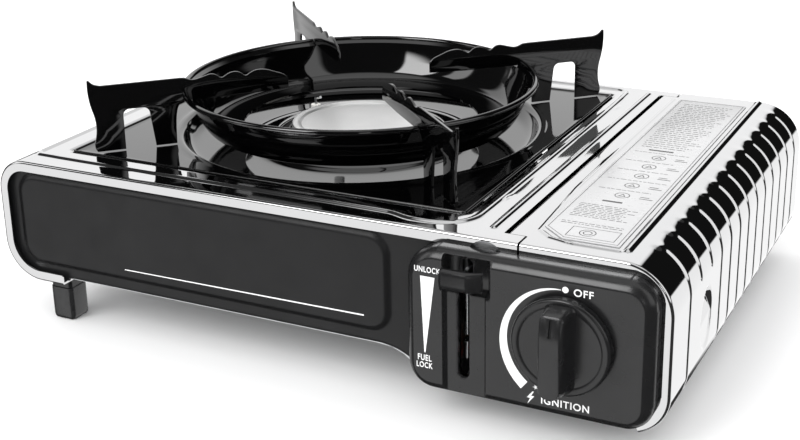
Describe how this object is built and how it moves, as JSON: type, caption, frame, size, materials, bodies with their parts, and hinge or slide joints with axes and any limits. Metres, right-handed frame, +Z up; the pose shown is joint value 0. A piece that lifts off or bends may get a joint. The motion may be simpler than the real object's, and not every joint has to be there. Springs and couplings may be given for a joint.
{
  "type": "portable gas camping stove",
  "caption": "Low rectangular single-burner cassette stove with a round wind-shield bowl, scalloped pan arms, fluted hinged cartridge lid, lever and ignition knob.",
  "frame": {"origin": "centre of the bounding box's footprint, on the ground under the feet", "axes": "+X along the front towards the cartridge side, +Y from the front to the back, +Z up"},
  "size_m": [0.34, 0.266, 0.1201],
  "materials": {
    "mirror_steel": "mirror polished",
    "enamel": "glossy enamel",
    "black_paint": "satin paint",
    "black_plastic": "satin",
    "rubber": "matte",
    "zinc": "die cast",
    "aluminium": "satin",
    "steel": "satin",
    "brass": "turned",
    "copper": "drawn tube",
    "ceramic": "satin",
    "white_plastic": "satin",
    "wire_skin": "matte",
    "label": "printed foil"
  },
  "bodies": {
    "stove": {"top_case": "mirror_steel", "spill_tray": "enamel", "front_panel": "black_paint", "rear_panel": "black_paint", "control_panel": "black_plastic", "foot_front_left": "black_plastic", "foot_rear_left": "black_plastic", "foot_front_right": "black_plastic", "foot_rear_right": "black_plastic", "collar_seal": "rubber", "lid_bumper_front": "rubber", "lid_bumper_back": "rubber", "regulator_body": "zinc", "regulator_cap": "zinc", "burner_base": "aluminium", "heat_plate": "aluminium", "base_pan": "steel", "partition_wall": "steel", "burner_cap": "steel", "mixing_tube": "steel", "electrode_bracket": "steel", "electrode_pin": "steel", "cartridge_collar": "steel", "lever_pivot_pin": "steel", "lever_bracket": "steel", "cartridge_cradle": "steel", "burner_screw_1": "steel", "burner_screw_2": "steel", "foot_screw_1": "steel", "foot_screw_2": "steel", "foot_screw_3": "steel", "foot_screw_4": "steel", "case_screw_1": "steel", "case_screw_2": "steel", "panel_screw_1": "steel", "panel_screw_2": "steel", "panel_screw_3": "steel", "panel_screw_4": "steel", "lid_hinge_pin_1": "steel", "lid_hinge_pin_2": "steel", "injector_nozzle": "brass", "gas_tube": "copper", "electrode_ceramic": "ceramic", "piezo_igniter": "white_plastic", "ignition_wire": "wire_skin"},
    "lid": {"cartridge_lid": "mirror_steel", "lid_label": "label"},
    "knob": {"knob": "black_plastic", "valve_spindle": "brass", "igniter_cam": "white_plastic"},
    "lever": {"lever_tab": "black_plastic", "lever_arm": "steel"},
    "carriage": {"cartridge_carriage": "steel"},
    "plunger": {"igniter_plunger": "white_plastic"},
    "trivet": {"trivet_bowl": "enamel", "pan_support_back_right": "enamel", "pan_support_back_left": "enamel", "pan_support_front_left": "enamel", "pan_support_front_right": "enamel"}
  },
  "joints": [
    {"name": "lid_hinge", "type": "hinge", "parent": "stove", "child": "lid", "pos_m": [0.0985, 0, 0.08], "axis": [0, -1, 0], "range_deg": [0, 92]},
    {"name": "knob_turn", "type": "hinge", "parent": "stove", "child": "knob", "pos_m": [0.128, -0.12, 0.0476], "axis": [0, -1, 0], "range_deg": [0, 145]},
    {"name": "fuel_lock_lever", "type": "hinge", "parent": "stove", "child": "lever", "pos_m": [0.0833, -0.021, 0.0495], "axis": [1, 0, 0], "range_deg": [0, 23]},
    {"name": "cartridge_push", "type": "slide", "parent": "stove", "child": "carriage", "axis": [0, -1, 0], "range_m": [0, 0.0089]},
    {"name": "igniter_press", "type": "slide", "parent": "stove", "child": "plunger", "axis": [-1, 0, 0], "range_m": [0, 0.004], "stiffness_N_per_m": 300, "springref_m": -0.003},
    {"name": "trivet_lift", "type": "slide", "parent": "stove", "child": "trivet", "axis": [0, 0, 1], "range_m": [0, 0.08]}
  ],
  "couplings": [
    {"joint": "cartridge_push", "follows": "fuel_lock_lever", "m_per_rad": 0.02212}
  ]
}
